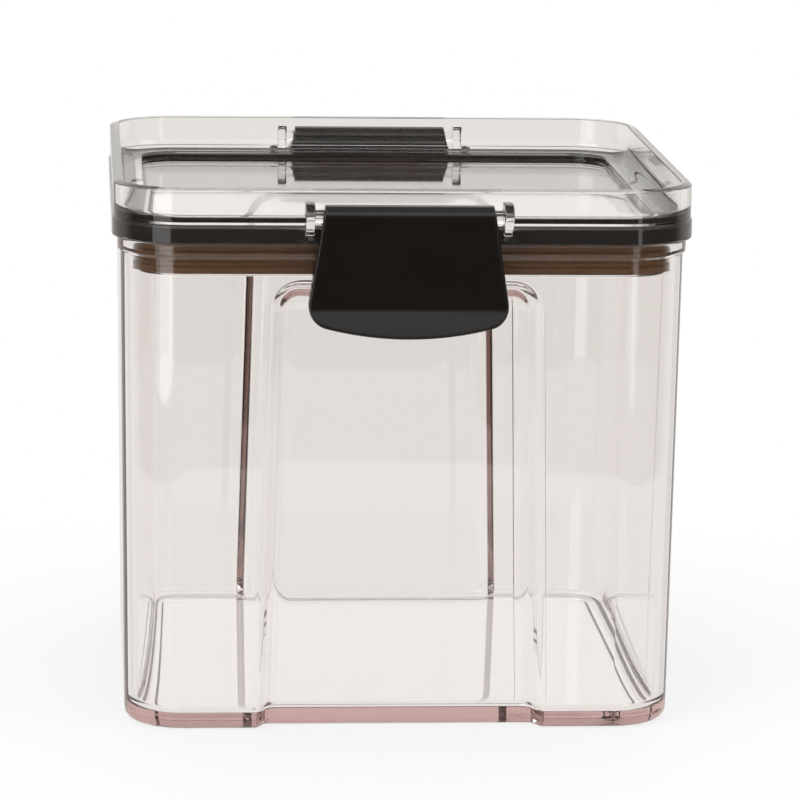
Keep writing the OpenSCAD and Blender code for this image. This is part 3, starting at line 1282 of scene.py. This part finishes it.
@dataclass(frozen=True)
class SiliconeWithPaintedReflection(GrainedPlastic):
    """Black silicone whose sleeve is painted browner than its flange, as a painted warm reflection.

    Attributes:
        sleeve: The colour of the sleeve and its lips, a painted warm reflection: brown that stands in for warm light
            reflected on the black silicone.
        flange_z: Height at which the flange starts.
        turn: Height over which the one colour turns to the other.
    """

    # painted warm reflection: this brown stands in for reflected warm light, the silicone itself is black
    sleeve: Colour = (0.16, 0.08, 0.036)
    flange_z: float = 89.9 * MM
    turn: float = 0.3 * MM

    def clean(self, look: Surface) -> Colour | Socket:
        """Gives the colour of the clean surface.

        Args:
            look: The material that is being made.

        Returns:
            The sleeve's painted warm reflection colour below and the flange's black above.
        """
        # the sleeve below the flange gets the painted warm reflection colour
        place = look.add("TexCoord").outputs["Object"]
        height = look.add("SeparateXYZ", {"Vector": place}).outputs["Z"]
        flange = look.ranged(height, source=(self.flange_z - self.turn, self.flange_z))
        return look.blended(flange, self.sleeve, self.colour)


WHITE = (1.0, 1.0, 1.0)
SURROUNDINGS = (0.84, 0.81, 0.78)
BIN_PLASTIC = ClearPlastic("rose clear plastic", tint=(0.66, 0.44, 0.42), density=19.0, waves=0.012 * MM)
LID_PLASTIC = ClearPlastic("clear plastic", tint=(0.66, 0.54, 0.44), density=22.0, waves=0.004 * MM)
# the gasket's sleeve carries a painted warm reflection, set in its class
SILICONE = SiliconeWithPaintedReflection("black silicone", colour=(0.008, 0.006, 0.005), worn=(0.026, 0.018, 0.013),
                        matt=(0.42, 0.58), grain=0.01 * MM, grain_scale=2600.0, gloss=0.25)
LATCH_PLASTIC = GrainedPlastic("satin black plastic", colour=(0.002, 0.0018, 0.0017), worn=(0.02, 0.02, 0.02),
                               matt=(0.18, 0.25), grain=0.004 * MM)


@dataclass(frozen=True)
class Viewpoint:
    """The camera, at the place and angle of the photograph.

    Attributes:
        place: The camera's place, in metres.
        yaw: Turn to the right of +Y, in radians.
        pitch: Tilt below the horizon, in radians.
        roll: Roll to the left, in radians.
        lens: Focal length, in millimetres.
        sensor: Width of the sensor, in millimetres.
        nearest: Distance from which things are seen, in metres.
    """

    place: tuple[float, float, float] = (-0.0586, -0.8092, 0.2083)
    yaw: float = 0.0759
    pitch: float = 0.1906
    roll: float = 0.0151
    lens: float = 193.5
    sensor: float = 36.0
    nearest: float = 0.01

    def make(self) -> None:
        """Adds the camera to the scene."""
        level = math.cos(self.pitch)
        ahead = Vector((math.sin(self.yaw) * level, math.cos(self.yaw) * level, -math.sin(self.pitch)))
        right = Vector((math.cos(self.yaw), -math.sin(self.yaw), 0))
        above = right.cross(ahead)
        right, above = (right * math.cos(self.roll) + above * math.sin(self.roll),
                        above * math.cos(self.roll) - right * math.sin(self.roll))
        data = bpy.data.cameras.new("camera")
        data.lens = self.lens
        data.sensor_width = self.sensor
        data.sensor_fit = "HORIZONTAL"
        data.clip_start = self.nearest
        camera = bpy.data.objects.new("camera", data)
        axes = Matrix((right, above, -ahead)).transposed().to_4x4()
        camera.matrix_world = Matrix.Translation(self.place) @ axes
        bpy.context.scene.collection.objects.link(camera)
        bpy.context.scene.camera = camera


@dataclass(frozen=True)
class Softbox:
    """A large soft lamp that is aimed at the object.

    Attributes:
        name: The lamp's name.
        place: Its place, in metres.
        size: Its width and height, in metres.
        power: Its power, in watts.
    """

    name: str
    place: tuple[float, float, float]
    size: Pair
    power: float
    target: ClassVar[Vector] = Vector((0, 0, 0.05))

    def make(self) -> None:
        """Adds the lamp to the scene."""
        data = bpy.data.lights.new(self.name, "AREA")
        data.shape = "RECTANGLE"
        data.size, data.size_y = self.size
        data.energy = self.power
        lamp = bpy.data.objects.new(self.name, data)
        lamp.location = self.place
        lamp.rotation_euler = (self.target - lamp.location).to_track_quat("-Z", "Y").to_euler()
        bpy.context.scene.collection.objects.link(lamp)


LAMPS = (
    Softbox("key", (-0.75, -0.55, 1.05), (0.8, 0.6), 4.5),
    Softbox("fill", (0.95, -0.35, 0.75), (0.7, 0.7), 3.0),
    Softbox("front", (-0.05, -1.05, 0.80), (1.7, 0.6), 2.6),
    Softbox("left window", (-0.75, -0.90, 0.25), (0.62, 0.9), 3.2),
    Softbox("right window", (0.52, -0.95, 0.22), (0.12, 0.8), 0.5),
    Softbox("back", (0.1, 0.95, 1.15), (1.2, 0.6), 4.5),
)


@dataclass(frozen=True)
class Studio:
    """The plain pale floor, the white surroundings and the lamps.

    Attributes:
        reach: Radius of the floor, in metres.
        drop: Height of the floor, a hair under the object, in metres.
        paint: The floor's colour.
        sheen: The floor's roughness.
        fade: Distances from the middle between which the floor turns white, in metres.
        whitened: Share of white at those distances.
        bounces: How often light may pass or bounce in the clear plastic.
        daylight: Strength of the plain white light on opaque pieces.
    """

    reach: float = 0.26
    drop: float = -0.05 * MM
    paint: Colour = (0.90, 0.89, 0.88)
    sheen: float = 0.6
    fade: Pair = (0.04, 0.15)
    whitened: Pair = (0.72, 1)
    bounces: int = 24
    daylight: float = 0.55

    def floor(self) -> None:
        """Adds a round pale floor that turns to the plain background away from the object."""
        skin = Skin()
        skin.face([Vector((x, y, self.drop)) for x, y in arc((0, 0), self.reach, 0, math.tau, 96)[:-1]])
        floor = skin.piece("floor")
        look = Surface("pale floor")
        look.feed(look.shader, {"Base Color": (*self.paint, 1), "Roughness": self.sheen})
        path = look.add("LightPath").outputs
        plain = look.add("Emission", {"Color": look.blended(path["Is Camera Ray"], SURROUNDINGS, WHITE)})
        place = look.add("TexCoord").outputs["Object"]
        far = look.add("VectorMath", {0: place}, operation="LENGTH").outputs["Value"]
        fade = look.ranged(far, source=self.fade, target=self.whitened, eased=True)
        seen = look.maths("MAXIMUM", path["Is Camera Ray"], path["Is Glossy Ray"])
        share = look.maths("MAXIMUM", look.maths("MULTIPLY", fade, seen), path["Is Transmission Ray"])
        mix = look.mixed(share, look.shader.outputs["BSDF"], plain.outputs["Emission"])
        look.feed(look.output, {"Surface": mix})
        floor.data.materials.append(look.material)

    def world(self) -> None:
        """Sets white surroundings, with a darker warm room in front that only reflections show."""
        world = bpy.data.worlds.new("studio")
        bpy.context.scene.world = world
        world.use_nodes = True
        nodes = Nodes(world.node_tree)
        nodes.tree.nodes.clear()
        path = nodes.add("LightPath").outputs
        place = nodes.add("TexCoord").outputs["Generated"]
        axes = nodes.add("SeparateXYZ", {"Vector": place}).outputs

        front = nodes.mixed(nodes.ranged(axes["Z"], source=(0.0, 0.7), eased=True),
                            nodes.glow((1.0, 0.74, 0.54), 0.17), nodes.glow((1.0, 0.97, 0.94), 0.6))
        rear = nodes.mixed(nodes.ranged(axes["Z"], source=(-0.05, 0.15), eased=True),
                           nodes.glow(SURROUNDINGS), nodes.glow((1.0, 0.98, 0.96), 1.05))
        rear = nodes.mixed(nodes.ranged(axes["Z"], source=(0.35, 0.65), eased=True),
                           rear, nodes.glow((1.0, 0.90, 0.80), 0.22))
        room = nodes.mixed(nodes.ranged(axes["Y"], source=(0.0, 0.45), eased=True), front, rear)
        room = nodes.mixed(path["Glossy Depth"], nodes.glow(SURROUNDINGS), room)
        clear = nodes.maths("MAXIMUM", path["Is Transmission Ray"], path["Is Glossy Ray"])
        look = nodes.mixed(clear, nodes.glow(WHITE, self.daylight), room)
        look = nodes.mixed(path["Is Camera Ray"], look, nodes.glow(WHITE))
        nodes.add("OutputWorld", {"Surface": look})

    def make(self) -> None:
        """Adds the whole studio."""
        self.floor()
        self.world()
        for lamp in LAMPS:
            lamp.make()
        bpy.context.scene.view_settings.view_transform = "Standard"
        cycles = bpy.context.scene.cycles
        cycles.max_bounces = cycles.transmission_bounces = cycles.glossy_bounces = self.bounces


def place_piece(piece: Thing, node: str, body: Body, slot: Slot, material: bpy.types.Material) -> None:
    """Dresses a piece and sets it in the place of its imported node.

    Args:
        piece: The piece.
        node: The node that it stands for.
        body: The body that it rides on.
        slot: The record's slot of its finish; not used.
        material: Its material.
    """
    piece.data.materials.clear()
    piece.data.materials.append(material)
    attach(piece, body.value)
    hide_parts(node)
    LOG.info("%s stands for %s on body %s, %d faces", piece.name, node, body.value, len(piece.data.polygons))


def main() -> None:
    """Builds the scene."""
    logging.basicConfig(level=logging.INFO, format="%(name)s: %(message)s")
    Viewpoint().make()
    Studio().make()
    effects = Effects()
    heights = Heights.of_frame()
    lid = StackingLid(heights)
    latch = FlipLatch(heights, lid.pivot())
    latch_black = LATCH_PLASTIC.make(effects)
    place_piece(ClearBin(heights).build(), "bin_body", Body.BIN, Slot.BIN, BIN_PLASTIC.make(effects))
    place_piece(lid.build(), "lid", Body.LID, Slot.LID, LID_PLASTIC.make(effects))
    place_piece(PlugGasket(heights).build(), "gasket", Body.LID, Slot.SEAL, SILICONE.make(effects))
    front = latch.build("latch_front", Matrix.Identity(4))
    place_piece(front, "front_latch", Body.FRONT_LATCH, Slot.LATCH, latch_black)
    rear = latch.build("latch_rear", HALF_TURN)
    place_piece(rear, "rear_latch", Body.REAR_LATCH, Slot.LATCH, latch_black)


if __name__ == "__main__":
    main()
